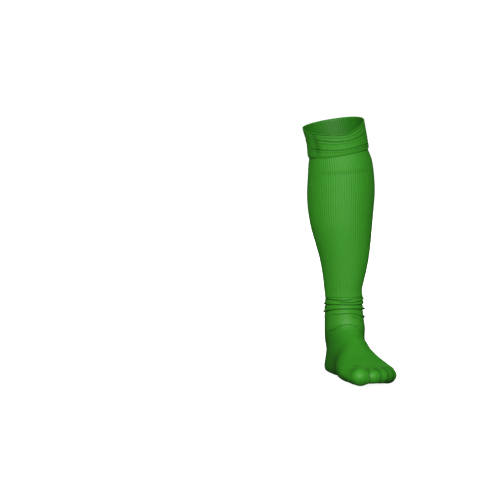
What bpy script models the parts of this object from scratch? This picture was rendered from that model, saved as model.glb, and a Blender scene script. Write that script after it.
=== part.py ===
"""Knee-high ribbed sports sock for a left foot, in the form it has when it is worn.

The leg rises along +Z, the toes point towards -Y and the big toe lies on the -X side.
The origin is the middle of the mouth, where the sock grips the leg below the knee.
Lengths are in metres and angles in degrees.
"""

import math
from collections import namedtuple

import bmesh
import bpy
import numpy as np

# Driving sizes
sock_height = 0.430  # sole to the middle of the mouth
calf_width = 0.1175
calf_depth = 0.116
ankle_width = 0.0634
ankle_depth = 0.080
ankle_height = 0.1325  # sole to the ring where the ribs end
instep_height = 0.0905  # sole to the top of the instep seam
toe_height = 0.031  # sole to the top of the big toe
foot_length = 0.250
foot_width = 0.098
heel_width = 0.056
toe_slant = 20.0  # how far the row of toes turns back on the little toe's side
wall = 0.002
band_wall = 0.0026  # the turned-over band is a doubled, thicker knit
piece_gap = 0.0003
rib_count = 84
rib_depth = 0.0007
fold_depth = 0.0026
crease_depth = 0.0008
lip_height = 0.0034
lip_roll = 0.0006  # how far the rolled lip stands out from the band
rim_dip = 0.0042  # how far the mouth hangs at its front and back
groove_softness = 0.0032  # how softly the knit bridges the grooves between the toes

# Points round each ring; a finer count is a whole multiple of a coarser one
ribbed_points = 2 * rib_count
lip_points = rib_count
inside_points = rib_count // 2
ankle_points = 48
ankle_inside_points = ankle_points // 2
foot_points = 40
foot_inside_points = foot_points // 2
toe_points = 2 * foot_points
toe_inside_points = 2 * foot_inside_points

# A ring across the sock: its front and back ends in the plane of symmetry, and its shape between them
Section = namedtuple(
    "Section",
    "front_y front_z back_y back_z half_width aside side_up egg turn sole_flat dip",
)

# In the tables, egg says how much wider a ring is at its front than at its back, and side_up how many
# degrees its little toe's side rises.

# Rings of the leg. height: share of sock_height. width, depth: 0 at the ankle's size, 1 at the calf's.
# aside, behind: shares of calf_width and calf_depth. front_up: degrees. dip: share of rim_dip.
LegRow = namedtuple("LegRow", "height width depth aside behind front_up side_up egg dip")
LEG_ROWS = [
    LegRow(1.000, 0.668, 0.667, -0.136, 0.086, -7.0, 10.9, 0.00, 1.0),
    LegRow(0.939, 0.613, 0.687, -0.082, 0.091, -2.0, 10.0, 0.00, 0.3),
    LegRow(0.884, 0.628, 0.727, -0.050, 0.097, 2.9, 8.8, 0.00, 0.0),
    LegRow(0.842, 0.830, 0.91, -0.022, 0.103, 2.0, 6.0, -0.02, 0.0),
    LegRow(0.786, 0.925, 0.97, -0.006, 0.103, 1.0, 3.0, -0.04, 0.0),
    LegRow(0.722, 0.970, 1.00, -0.004, 0.103, 0.0, 1.0, -0.05, 0.0),
    LegRow(0.658, 0.900, 0.95, -0.009, 0.094, 0.0, 0.0, -0.05, 0.0),
    LegRow(0.594, 0.780, 0.83, -0.006, 0.078, 0.0, 0.0, -0.04, 0.0),
    LegRow(0.531, 0.595, 0.64, 0.008, 0.060, 0.0, 0.0, -0.02, 0.0),
    LegRow(0.467, 0.380, 0.44, 0.020, 0.041, 0.0, 0.0, 0.00, 0.0),
    LegRow(0.403, 0.170, 0.25, 0.012, 0.026, 1.0, 0.0, 0.03, 0.0),
    LegRow(0.340, -0.015, 0.10, -0.006, 0.013, 3.0, 0.0, 0.05, 0.0),
]
HEM = 2
BAND_PLACES = [0.52, 0.86, 1.28, 1.66]  # rings of the cuff's outside between its lip and its hem
UNDER_BAND = 1.0  # the ring where the cuff's inside and the leg under it bend
RIBBED_PLACES = [HEM, 3.5, 5.0, 6.8, 9.0]  # rings of the leg where its ribs show

# Rings of the ankle, which turn from level to the slant of the instep seam.
# forward, back: shares of ankle_depth from the ankle's middle. The heights are shares of the way from the
# ankle's height (0) down to the seam at the instep (1). width, aside: shares of ankle_width.
AnkleRow = namedtuple("AnkleRow", "forward front_down back back_down width aside egg")
ANKLE_ROWS = [
    AnkleRow(0.506, -0.08, 0.500, 0.08, 0.990, 0.00, 0.08),
    AnkleRow(0.500, 0.19, 0.506, 0.46, 0.985, 0.00, 0.10),
    AnkleRow(0.500, 0.44, 0.519, 0.82, 0.985, 0.00, 0.12),
    AnkleRow(0.506, 0.68, 0.550, 1.25, 1.000, 0.01, 0.15),
    AnkleRow(0.525, 0.87, 0.600, 1.70, 1.020, 0.02, 0.18),
]

# Rings of the foot, which fan round the instep from the seam to the sole and then go on to the toes.
# top, low: places along the foot, as shares of foot_length from the ankle's middle.
# top_height: share of instep_height. low_height: share of toe_height.
# width: 0 at the heel's width, 1 at the foot's. aside: share of foot_width. turn: share of toe_slant.
# sole_flat: 0 round, 1 flat as far as SOLE_SQUARE goes.
FootRow = namedtuple(
    "FootRow", "top top_height low low_height width aside side_up egg turn sole_flat"
)
FOOT_ROWS = [
    FootRow(0.178, 1.00, -0.212, 1.42, 0.20, 0.02, 0.0, 0.18, 0.0, 0.0),
    FootRow(0.198, 0.94, -0.230, 0.82, 0.08, 0.03, 0.0, 0.18, 0.0, 0.1),
    FootRow(0.220, 0.89, -0.226, 0.30, 0.06, 0.02, 0.0, 0.16, 0.0, 0.5),
    FootRow(0.242, 0.84, -0.176, 0.03, 0.08, 0.01, 0.0, 0.12, 0.0, 0.8),
    FootRow(0.266, 0.80, -0.088, 0.00, 0.08, 0.01, 0.0, 0.10, 0.0, 0.8),
    FootRow(0.292, 0.76, 0.012, 0.08, 0.08, 0.01, 0.0, 0.08, 0.0, 0.6),
    FootRow(0.320, 0.71, 0.108, 0.26, 0.14, 0.00, 0.0, 0.07, 0.0, 0.3),
    FootRow(0.354, 0.65, 0.204, 0.28, 0.28, 0.00, 0.0, 0.02, 0.0, 0.2),
    FootRow(0.396, 0.57, 0.296, 0.20, 0.50, 0.01, 0.0, 0.00, 0.1, 0.2),
    FootRow(0.444, 0.49, 0.388, 0.10, 0.78, 0.02, 0.0, 0.00, 0.3, 0.3),
    FootRow(0.496, 0.43, 0.468, 0.06, 0.98, 0.02, 0.0, 0.00, 0.5, 0.3),
    FootRow(0.548, 0.39, 0.536, 0.08, 1.02, 0.02, 1.0, 0.00, 0.8, 0.4),
    FootRow(0.596, 0.36, 0.592, 0.12, 1.00, 0.01, 2.0, 0.00, 1.0, 0.4),
    FootRow(0.640, 0.34, 0.640, 0.16, 0.93, 0.00, 2.0, 0.00, 1.0, 0.4),
    FootRow(0.686, 0.31, 0.686, 0.24, 0.78, 0.00, 2.0, 0.00, 1.0, 0.3),
]
SOLE_SQUARE = 0.6  # how far a flat sole squares off its ring's lower half

# The toes under the knit. aside: share of foot_width. tip: share of foot_length from the ankle's middle.
# knuckle, nose: heights of the toe's middle at its root and tip, as shares of toe_height.
# radius: share of toe_height.
ToeRow = namedtuple("ToeRow", "aside tip knuckle nose radius")
TOE_ROWS = [
    ToeRow(-0.290, 0.764, 0.62, 0.57, 0.400),
    ToeRow(-0.080, 0.758, 0.68, 0.56, 0.310),
    ToeRow(0.096, 0.734, 0.68, 0.56, 0.290),
    ToeRow(0.240, 0.704, 0.66, 0.55, 0.275),
    ToeRow(0.370, 0.664, 0.62, 0.52, 0.285),
]
TOE_SPLAY = 0.9  # how far apart the toes' roots lie, as a share of their tips'
TOE_ROOT = 0.50  # where the toes begin, as a share of foot_length
TOE_REACH = (0.25, 3.0)  # where the toes' surface is sought, as shares of the ring's own reach
SEARCH_STEPS = 24
TOE_BLEND = 0.12  # how long the foot's form takes to pass into the toes', as a share of foot_length
CAP_TURNS = [20, 42, 62, 79]  # rings over the toes' noses: degrees from square across to straight ahead

# Folds and creases. place: rows from the first ring of the piece. climb: rows it rises towards the little
# toe's side. depth: share of fold_depth or crease_depth. toward: degrees, 0 at the front and 90 on the
# little toe's side. spread: degrees to either side. breadth: rows.
Fold = namedtuple("Fold", "place climb depth toward spread breadth")
ANKLE_FOLDS = [
    Fold(0.30, -0.20, 0.6, -30, 110, 0.24),
    Fold(1.00, 0.05, 1.0, 0, 200, 0.30),
    Fold(1.75, 0.15, 1.0, 10, 200, 0.30),
    Fold(2.50, -0.25, 0.8, 45, 90, 0.30),
    Fold(3.35, 0.15, 0.7, 75, 60, 0.34),
]
FOLD_FADE = 0.3  # the end of each fold where it fades out, as a share of its spread
FOLD_SWELL = 0.45  # how far the knit stands out between the ankle's folds, as a share of fold_depth
LEG_CREASES = [
    Fold(0.52, 0.05, 1.0, 0, 120, 0.12),
    Fold(1.28, 0.10, 0.9, 0, 120, 0.13),
    Fold(1.66, 0.10, 0.7, 60, 45, 0.10),
    Fold(3.75, 0.00, 0.4, 0, 60, 0.12),
]

# Colours of the knit, red, green and blue in linear light
CUFF_GREEN = (0.058, 0.278, 0.028)
LEG_GREEN = (0.050, 0.266, 0.023)
FOOT_GREEN = (0.047, 0.262, 0.020)
KNIT_ROUGHNESS = 0.85


def blend(low, high, share):
    """The value a share of the way from low to high."""
    return low + (high - low) * share


def tangent(degrees):
    return math.tan(math.radians(degrees))


def leg_section(row):
    """The ring that a row of the leg's table describes."""
    half_depth = blend(ankle_depth, calf_depth, row.depth) / 2
    middle_y = row.behind * calf_depth
    middle_z = row.height * sock_height
    rise = half_depth * tangent(row.front_up)
    return Section(
        front_y=middle_y - half_depth,
        front_z=middle_z + rise,
        back_y=middle_y + half_depth,
        back_z=middle_z - rise,
        half_width=blend(ankle_width, calf_width, row.width) / 2,
        aside=row.aside * calf_width,
        side_up=tangent(row.side_up),
        egg=row.egg,
        turn=0.0,
        sole_flat=0.0,
        dip=row.dip * rim_dip,
    )


def ankle_section(row):
    """The ring that a row of the ankle's table describes."""
    drop = ankle_height - instep_height
    return Section(
        front_y=-row.forward * ankle_depth,
        front_z=ankle_height - row.front_down * drop,
        back_y=row.back * ankle_depth,
        back_z=ankle_height - row.back_down * drop,
        half_width=row.width * ankle_width / 2,
        aside=row.aside * ankle_width,
        side_up=0.0,
        egg=row.egg,
        turn=0.0,
        sole_flat=0.0,
        dip=0.0,
    )


def foot_section(row):
    """The ring that a row of the foot's table describes."""
    return Section(
        front_y=-row.top * foot_length,
        front_z=row.top_height * instep_height,
        back_y=-row.low * foot_length,
        back_z=row.low_height * toe_height,
        half_width=blend(heel_width, foot_width, row.width) / 2,
        aside=row.aside * foot_width,
        side_up=tangent(row.side_up),
        egg=row.egg,
        turn=row.turn * tangent(toe_slant),
        sole_flat=row.sole_flat,
        dip=0.0,
    )


LEG_SECTIONS = [leg_section(row) for row in LEG_ROWS]
ANKLE_SECTIONS = [ankle_section(row) for row in ANKLE_ROWS]
FOOT_SECTIONS = [foot_section(row) for row in FOOT_ROWS]
SECTIONS = np.array(LEG_SECTIONS + ANKLE_SECTIONS + FOOT_SECTIONS)
ANKLE_START = len(LEG_SECTIONS)
SEAM = ANKLE_START + len(ANKLE_SECTIONS)
TOES = SEAM + 10
CAP = len(SECTIONS) - 1
LIP_END = lip_height / (LEG_SECTIONS[0].front_z - LEG_SECTIONS[1].front_z)
LIP_RISE = 0.8  # how much of its height the lip rounds over
LIP_TURNS = (150, 90, 25)  # rings over the lip: degrees round it from its outer side


def section_at(place):
    """The ring at a place along the sock: whole numbers are the tables' rows, with a smooth curve between."""
    last = len(SECTIONS) - 1
    start = min(int(place), last - 1)
    t = place - start
    before, a, b, after = (
        SECTIONS[min(max(start + step, 0), last)] for step in (-1, 0, 1, 2)
    )
    curve = (
        2 * a
        + (b - before) * t
        + (2 * before - 5 * a + 4 * b - after) * t**2
        + (3 * a - before - 3 * b + after) * t**3
    )
    return Section(*(curve / 2))


def round_ring(place, count, inset):
    """Points round the ring at a place, moved inwards by inset. The first one is at the front."""
    ring = section_at(place)
    angle = np.arange(count) * 2 * math.pi / count
    across = np.sin(angle)
    along = np.cos(angle)
    square = 1 / (1 + SOLE_SQUARE * max(ring.sole_flat, 0.0))
    power = np.where(along < 0, square, 1.0)
    across = np.sign(across) * np.abs(across) ** power
    along = np.sign(along) * np.abs(along) ** power
    front = np.array([ring.front_y, ring.front_z])
    back = np.array([ring.back_y, ring.back_z])
    middle = (front + back) / 2
    reach = np.linalg.norm(front - back) / 2
    direction = (front - back) / (2 * reach)
    sideways = across * (ring.half_width * (1 + ring.egg * along) - inset)
    lengthways = along * (reach - inset)
    y = middle[0] + direction[0] * lengthways + ring.turn * sideways
    z = middle[1] + direction[1] * lengthways + ring.side_up * sideways
    z = z - ring.dip * along**2
    return np.stack([ring.aside + sideways, y, z], axis=1)


def turned_towards(count, toward):
    """How far each point of a ring lies from a direction, in degrees from -180 to 180."""
    angle = np.arange(count) * 360 / count
    return (angle - toward + 180) % 360 - 180


def fold_inset(folds, place, count):
    """How far the folds draw in each point of the ring at a place, as shares of the folds' depth."""
    inset = np.zeros(count)
    sidewards = np.sin(np.arange(count) * 2 * math.pi / count)
    for fold in folds:
        away = np.abs(turned_towards(count, fold.toward))
        reach = np.clip((fold.spread - away) / (FOLD_FADE * fold.spread), 0, 1)
        distance = (place - fold.place + fold.climb * sidewards) / fold.breadth
        inset = np.maximum(inset, fold.depth * reach * np.exp(-(distance**2)))
    return inset


def rib_inset(count):
    """Ribs on a ring with two points to a rib: a ridge and a valley."""
    return rib_depth * (np.arange(count) % 2)


def toe_distance(points, inset):
    """Distance outside the five toes, which the knit bridges softly."""
    total = np.zeros(len(points))
    for toe in TOE_ROWS:
        radius = toe.radius * toe_height
        aside = toe.aside * foot_width
        root = np.array([TOE_SPLAY * aside, -TOE_ROOT * foot_length, toe.knuckle * toe_height])
        tip = np.array([aside, radius - toe.tip * foot_length, toe.nose * toe_height])
        bone = tip - root
        share = np.clip((points - root) @ bone / (bone @ bone), 0, 1)
        distance = np.linalg.norm(points - root - share[:, None] * bone, axis=1) - radius
        total += np.exp(-distance / groove_softness)
    return inset - groove_softness * np.log(total)


def toe_formed(place, count, inset, turn):
    """A ring of the foot with the toes' form pressed into it, growing from none at their root.

    turn: how far the ring is turned ahead over the toes' noses, in degrees.
    """
    ring = round_ring(place, count, 0.0)
    section = section_at(place)
    middle_y = (section.front_y + section.back_y) / 2
    middle_z = (section.front_z + section.back_z) / 2
    half_height = (section.front_z - section.back_z) / 2
    slack = section.half_width - half_height
    sideways = np.clip(ring[:, 0] - section.aside, -slack, slack)
    core = np.stack(
        [
            section.aside + sideways,
            middle_y + section.turn * sideways,
            middle_z + section.side_up * sideways,
        ],
        axis=1,
    )
    ray = math.cos(math.radians(turn)) * (ring - core)
    ray[:, 1] -= half_height * math.sin(math.radians(turn))
    near, far = (np.full(count, reach) for reach in TOE_REACH)
    for _ in range(SEARCH_STEPS):
        middle = (near + far) / 2
        outside = toe_distance(core + middle[:, None] * ray, inset) > 0
        far = np.where(outside, middle, far)
        near = np.where(outside, near, middle)
    pressed = core + near[:, None] * ray
    share = (-middle_y / foot_length - TOE_ROOT) / TOE_BLEND
    share = min(max(share, 0.0), 1.0)
    return blend(round_ring(place, count, inset), pressed, share * share * (3 - 2 * share))


def foot_ring(place, count, inset):
    section = section_at(place)
    if -(section.front_y + section.back_y) / 2 < TOE_ROOT * foot_length:
        return round_ring(place, count, inset)
    return toe_formed(place, count, inset, 0.0)


def ankle_ring(place, count, inset):
    share = (place - ANKLE_START) / len(ANKLE_ROWS)
    swell = FOLD_SWELL * math.sin(math.pi * min(max(share, 0.0), 1.0))
    folds = fold_depth * (fold_inset(ANKLE_FOLDS, place - ANKLE_START, count) - swell)
    return round_ring(place, count, inset + folds)


def leg_ring(place, count, inset):
    creases = crease_depth * fold_inset(LEG_CREASES, place, count)
    return round_ring(place, count, inset + creases)


def join_rings(mesh, first, second):
    """Skins two rings of vertices. One may have a whole multiple of the other's count."""
    many, few = (first, second) if len(first) >= len(second) else (second, first)
    step = len(many) // len(few)
    for k, corner in enumerate(few):
        following = few[(k + 1) % len(few)]
        run = [many[(k * step + j) % len(many)] for j in range(step + 1)]
        if step == 1:
            mesh.faces.new((run[0], run[1], following, corner))
            continue
        half = step // 2
        for j in range(step):
            mesh.faces.new((run[j], run[j + 1], corner if j < half else following))
        mesh.faces.new((run[half], following, corner))


def add_rings(mesh, rings):
    """Makes the rings' vertices, skins each ring to the next and returns the first and last."""
    made = [[mesh.verts.new(point) for point in ring] for ring in rings]
    for first, second in zip(made, made[1:]):
        join_rings(mesh, first, second)
    return made[0], made[-1]


def knit_material(name, colour):
    material = bpy.data.materials.new(name)
    material.use_nodes = True
    shader = material.node_tree.nodes["Principled BSDF"]
    shader.inputs["Base Color"].default_value = (*colour, 1.0)
    shader.inputs["Roughness"].default_value = KNIT_ROUGHNESS
    shader.inputs["Metallic"].default_value = 0.0
    material.diffuse_color = (*colour, 1.0)
    return material


def finish_piece(name, mesh, material, parent):
    """Turns the modelled mesh into an object with its faces pointing out."""
    bmesh.ops.recalc_face_normals(mesh, faces=mesh.faces)
    data = bpy.data.meshes.new(name)
    mesh.to_mesh(data)
    mesh.free()
    data.materials.append(material)
    data.shade_smooth()
    data.set_sharp_from_angle(angle=math.radians(50))
    piece = bpy.data.objects.new(name, data)
    piece.parent = parent
    bpy.context.scene.collection.objects.link(piece)
    return piece


def gap_in_rows(place):
    """How many rows half of the gap between two pieces takes at a place."""
    step = 0.01
    here = section_at(place)
    there = section_at(place + step)
    front = math.hypot(there.front_y - here.front_y, there.front_z - here.front_z)
    back = math.hypot(there.back_y - here.back_y, there.back_z - here.back_z)
    return step * piece_gap / 2 / min(front, back)


def tube_piece(name, outer, inner, material, parent):
    """A tube of knit: outer rings from top to bottom, and inner rings the same way."""
    mesh = bmesh.new()
    outer_top, outer_end = add_rings(mesh, outer)
    inner_top, inner_end = add_rings(mesh, inner)
    join_rings(mesh, outer_top, inner_top)
    join_rings(mesh, outer_end, inner_end)
    return finish_piece(name, mesh, material, parent)


def make_cuff(material, parent):
    """The turned-over band: it hangs from a rolled lip that covers the leg's top edge."""
    outside = -piece_gap - band_wall
    middle = (wall + outside) / 2
    outer = outside + rib_inset(ribbed_points)
    band = [leg_ring(place, ribbed_points, outer) for place in (LIP_END, *BAND_PLACES, HEM)]
    seat = round_ring(LIP_END, inside_points, wall)
    lip = []
    for turn in LIP_TURNS:
        out = (middle - outside + lip_roll) * math.cos(math.radians(turn))
        place = LIP_END * LIP_RISE * (1 - math.sin(math.radians(turn)))
        lip.append(round_ring(place, lip_points, middle - out))
    places = (LIP_END, UNDER_BAND, HEM)
    hollow = [round_ring(place, inside_points, -piece_gap) for place in places]
    mesh = bmesh.new()
    first, last = add_rings(mesh, [seat] + lip + band)
    top, bottom = add_rings(mesh, hollow)
    join_rings(mesh, first, top)
    join_rings(mesh, last, bottom)
    return finish_piece("cuff", mesh, material, parent)


def make_leg(material, parent):
    """The ribbed tube. Its ribs start at the cuff's hem: above it the cuff hides them."""
    top = LIP_END + 2 * gap_in_rows(LIP_END)
    end = ANKLE_START - gap_in_rows(ANKLE_START)
    hidden = [top, UNDER_BAND]
    shown = [*RIBBED_PLACES, end]
    ribs = rib_inset(ribbed_points)
    outer = [round_ring(place, inside_points, 0.0) for place in hidden]
    outer += [leg_ring(place, ribbed_points, ribs) for place in shown]
    inner = [leg_ring(place, inside_points, wall) for place in hidden + shown]
    return tube_piece("leg", outer, inner, material, parent)


def make_ankle(material, parent):
    start = ANKLE_START + gap_in_rows(ANKLE_START)
    places = np.linspace(start, SEAM - gap_in_rows(SEAM), 15)
    outer = [ankle_ring(place, ankle_points, 0.0) for place in places]
    inner = [ankle_ring(place, ankle_inside_points, wall) for place in places]
    return tube_piece("ankle", outer, inner, material, parent)


def make_foot(material, parent):
    """The foot, closed over the toes' noses along the line between their tops and undersides."""
    start = SEAM + gap_in_rows(SEAM)
    heel = np.arange(SEAM + 0.75, SEAM + 4, 0.75)
    arch = np.arange(SEAM + 4.5, TOES)
    toes = np.linspace(TOES, CAP, 7)
    mesh = bmesh.new()
    edges = []
    for count, toe_count, inset in (
        (foot_points, toe_points, 0.0),
        (foot_inside_points, toe_inside_points, wall),
    ):
        rings = [foot_ring(place, count, inset) for place in (start, *heel, *arch)]
        rings += [foot_ring(place, toe_count, inset) for place in toes]
        rings += [toe_formed(CAP, toe_count, inset, turn) for turn in CAP_TURNS]
        first, last = add_rings(mesh, rings)
        side = toe_count // 4
        for k in range(toe_count // 2):
            corners = [last[side - k], last[side + k], last[side + k + 1], last[side - k - 1]]
            mesh.faces.new(dict.fromkeys(corners))
        edges.append(first)
    join_rings(mesh, *edges)
    return finish_piece("foot", mesh, material, parent)


def make_sock():
    for old in list(bpy.data.objects):
        bpy.data.objects.remove(old, do_unlink=True)
    mouth = section_at(0)
    sock = bpy.data.objects.new("sock", None)
    bpy.context.scene.collection.objects.link(sock)
    sock.location = (
        -mouth.aside,
        -(mouth.front_y + mouth.back_y) / 2,
        -(mouth.front_z + mouth.back_z) / 2,
    )
    make_cuff(knit_material("cuff_knit", CUFF_GREEN), sock)
    make_leg(knit_material("ribbed_knit", LEG_GREEN), sock)
    make_ankle(knit_material("ankle_knit", LEG_GREEN), sock)
    make_foot(knit_material("foot_knit", FOOT_GREEN), sock)


make_sock()
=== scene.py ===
# %% [markdown]
# # A knee-high ribbed sock
#
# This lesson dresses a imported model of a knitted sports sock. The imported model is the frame: it says
# where each piece lies, and it is never moved. Every cell makes one thing and prints what it made.
#
# Lengths are in metres. The toes point along -Y, the big toe lies on the -X side, and Z is up. The
# origin is the middle of the sock's mouth.

# %% Load the frame
import math
from collections import namedtuple

import bmesh
import bpy
import numpy as np
from mathutils import Matrix, Vector


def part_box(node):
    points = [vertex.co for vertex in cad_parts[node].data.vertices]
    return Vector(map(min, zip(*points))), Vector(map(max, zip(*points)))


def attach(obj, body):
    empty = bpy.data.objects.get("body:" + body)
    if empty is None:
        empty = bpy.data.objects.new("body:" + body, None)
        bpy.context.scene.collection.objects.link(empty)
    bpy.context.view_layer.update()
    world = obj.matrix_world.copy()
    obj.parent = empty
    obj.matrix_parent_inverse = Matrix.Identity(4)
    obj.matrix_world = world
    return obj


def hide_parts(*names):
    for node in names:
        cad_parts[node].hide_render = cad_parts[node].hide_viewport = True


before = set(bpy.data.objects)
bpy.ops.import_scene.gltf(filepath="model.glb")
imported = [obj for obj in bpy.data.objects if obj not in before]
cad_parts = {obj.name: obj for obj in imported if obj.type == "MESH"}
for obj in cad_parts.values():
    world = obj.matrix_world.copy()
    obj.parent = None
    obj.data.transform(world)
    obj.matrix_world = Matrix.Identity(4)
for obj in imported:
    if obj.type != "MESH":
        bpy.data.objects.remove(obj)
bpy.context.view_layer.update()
print("pieces of the frame:", ", ".join(sorted(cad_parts)))

# %% [markdown]
# ## Sizes
#
# A sock is knitted as one tube, so everything follows a few sizes: how high it stands, how wide it is
# at the calf and the ankle, and how long and wide its foot is. They are the sizes of the frame, as the
# lowest point of the frame's foot shows.

# %% The sock's sizes
sock_height = 0.430
calf_width = 0.1175
calf_depth = 0.116
ankle_width = 0.0634
ankle_depth = 0.080
ankle_height = 0.1325
instep_height = 0.0905
toe_height = 0.031
foot_length = 0.250
foot_width = 0.098
heel_width = 0.056
toe_slant = 20.0  # degrees by which the toes' line runs back to the little toe

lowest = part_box("foot")[0][2]
print(f"the frame's sole lies {-lowest * 1000:.1f} mm below the mouth's middle")
print(f"the sock stands {sock_height * 1000:.0f} mm high")

# %% [markdown]
# ## Rings
#
# The form is a row of rings, from the mouth down the leg, round the heel and out to the toes. Each
# table below has one row for each ring, and gives it as shares of the sizes above. A smooth curve
# runs through the rows, so a ring can be asked for at any place between two of them: place 3.5 is
# halfway from row 3 to row 4. A subdivision surface could round a coarse cage too, but rings keep
# every rib and fold at its real size.
#
# On the leg a row says how high the ring's middle lies. Its width and depth are 0 at the ankle's size
# and 1 at the calf's. Aside and behind move its middle. Front_up and side_up raise its front and its
# little toe's side, in degrees. Egg makes its front wider than its back, and dip lets it sag.

# %% Rings of the leg
LegRow = namedtuple("LegRow", "height width depth aside behind front_up side_up egg dip")
LEG_ROWS = [LegRow(*row) for row in (
    (1.000, 0.668, 0.667, -0.136, 0.086, -7.0, 10.9, 0.00, 1.0),
    (0.939, 0.613, 0.687, -0.082, 0.091, -2.0, 10.0, 0.00, 0.3),
    (0.884, 0.665, 0.727, -0.054, 0.097, 2.9, 8.8, 0.00, 0.0),
    (0.842, 0.830, 0.91, -0.022, 0.103, 2.0, 6.0, -0.02, 0.0),
    (0.786, 0.925, 0.97, -0.006, 0.103, 1.0, 3.0, -0.04, 0.0),
    (0.722, 0.970, 1.00, -0.004, 0.103, 0.0, 1.0, -0.05, 0.0),
    (0.658, 0.900, 0.95, -0.009, 0.094, 0.0, 0.0, -0.05, 0.0),
    (0.594, 0.780, 0.83, -0.006, 0.078, 0.0, 0.0, -0.04, 0.0),
    (0.531, 0.595, 0.64, 0.008, 0.060, 0.0, 0.0, -0.02, 0.0),
    (0.467, 0.380, 0.44, 0.020, 0.041, 0.0, 0.0, 0.00, 0.0),
    (0.403, 0.170, 0.25, 0.012, 0.026, 1.0, 0.0, 0.03, 0.0),
    (0.340, -0.015, 0.10, -0.006, 0.013, 3.0, 0.0, 0.05, 0.0),
)]
HEM = 2
CALF = 5
print(len(LEG_ROWS), "rings down the leg; the cuff ends at ring", HEM)

# %% [markdown]
# ## Rings that turn the corner
#
# Below the ankle the rings can't stay level, because the foot points forward. Each one leans, from the
# instep in front down to the heel behind, and then the rings fan out until they stand upright across
# the toes. So a row gives its two ends: how far forward or back each lies, and how high. Sole_flat
# squares the lower half of a ring, which makes the flat tread of the heel and the sole. Turn slants it
# along the line of the toes.

# %% Rings of the ankle and the foot
AnkleRow = namedtuple("AnkleRow", "forward front_down back back_down width aside egg")
ANKLE_ROWS = [AnkleRow(*row) for row in (
    (0.506, -0.08, 0.500, 0.08, 0.990, 0.00, 0.08),
    (0.500, 0.19, 0.506, 0.46, 0.985, 0.00, 0.10),
    (0.500, 0.44, 0.519, 0.82, 0.985, 0.00, 0.12),
    (0.506, 0.68, 0.550, 1.25, 1.000, 0.01, 0.15),
    (0.525, 0.87, 0.600, 1.70, 1.020, 0.02, 0.18),
)]
FootRow = namedtuple(
    "FootRow", "top top_height low low_height width aside side_up egg turn sole_flat"
)
FOOT_ROWS = [FootRow(*row) for row in (
    (0.178, 1.00, -0.212, 1.42, 0.20, 0.02, 0.0, 0.18, 0.0, 0.0),
    (0.198, 0.94, -0.230, 0.82, 0.08, 0.03, 0.0, 0.18, 0.0, 0.1),
    (0.220, 0.89, -0.226, 0.26, 0.06, 0.02, 0.0, 0.16, 0.0, 0.6),
    (0.242, 0.84, -0.176, 0.02, 0.08, 0.01, 0.0, 0.12, 0.0, 2.0),
    (0.266, 0.80, -0.088, 0.00, 0.08, 0.01, 0.0, 0.10, 0.0, 2.6),
    (0.292, 0.76, 0.012, 0.00, 0.08, 0.01, 0.0, 0.08, 0.0, 2.6),
    (0.320, 0.71, 0.108, 0.02, 0.14, 0.00, 0.0, 0.07, 0.0, 1.8),
    (0.354, 0.65, 0.204, 0.03, 0.34, -0.01, 0.0, 0.02, 0.0, 1.0),
    (0.396, 0.57, 0.296, 0.02, 0.62, -0.01, 0.0, 0.00, 0.1, 0.6),
    (0.444, 0.49, 0.388, 0.02, 0.88, 0.00, 0.0, 0.00, 0.3, 0.5),
    (0.496, 0.43, 0.468, 0.02, 1.02, 0.01, 0.0, 0.00, 0.5, 0.4),
    (0.548, 0.39, 0.536, 0.08, 1.02, 0.02, 1.0, 0.00, 0.8, 0.4),
    (0.596, 0.36, 0.592, 0.12, 1.00, 0.01, 2.0, 0.00, 1.0, 0.4),
    (0.640, 0.34, 0.640, 0.16, 0.93, 0.00, 2.0, 0.00, 1.0, 0.4),
    (0.686, 0.31, 0.686, 0.24, 0.78, 0.00, 2.0, 0.00, 1.0, 0.3),
)]
ANKLE_START = len(LEG_ROWS)
SEAM = ANKLE_START + len(ANKLE_ROWS)
CAP = SEAM + len(FOOT_ROWS) - 1
print("the ankle starts at ring", ANKLE_START, "and the foot at ring", SEAM)

# %% [markdown]
# ## From rows to rings
#
# Three functions turn the shares into metres, so that all rings have the same fields: where a ring's
# front and its back lie, half its width, and what leans, squares or bends it.

# %% Turning rows into rings
FIELDS = "front_y front_z back_y back_z half_width aside side_up egg turn sole_flat dip"
Section = namedtuple("Section", FIELDS)
rim_dip = 0.0042


def blend(low, high, share):
    return low + (high - low) * share


def tangent(degrees):
    return math.tan(math.radians(degrees))


def leg_section(row):
    half_depth = blend(ankle_depth, calf_depth, row.depth) / 2
    middle_y = row.behind * calf_depth
    middle_z = row.height * sock_height
    rise = half_depth * tangent(row.front_up)
    half_width = blend(ankle_width, calf_width, row.width) / 2
    front = (middle_y - half_depth, middle_z + rise)
    back = (middle_y + half_depth, middle_z - rise)
    aside, dip = row.aside * calf_width, row.dip * rim_dip
    return Section(*front, *back, half_width, aside, tangent(row.side_up), row.egg, 0, 0, dip)


def ankle_section(row):
    drop = ankle_height - instep_height
    front = (-row.forward * ankle_depth, ankle_height - row.front_down * drop)
    back = (row.back * ankle_depth, ankle_height - row.back_down * drop)
    half_width = row.width * ankle_width / 2
    return Section(*front, *back, half_width, row.aside * ankle_width, 0, row.egg, 0, 0, 0)


def foot_section(row):
    front = (-row.top * foot_length, row.top_height * instep_height)
    back = (-row.low * foot_length, row.low_height * toe_height)
    half_width = blend(heel_width, foot_width, row.width) / 2
    aside, side_up = row.aside * foot_width, tangent(row.side_up)
    turn = row.turn * tangent(toe_slant)
    return Section(*front, *back, half_width, aside, side_up, row.egg, turn, row.sole_flat, 0)


SECTIONS = np.array(
    [leg_section(row) for row in LEG_ROWS]
    + [ankle_section(row) for row in ANKLE_ROWS]
    + [foot_section(row) for row in FOOT_ROWS]
)
print("there are", len(SECTIONS), "rings in all")

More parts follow.
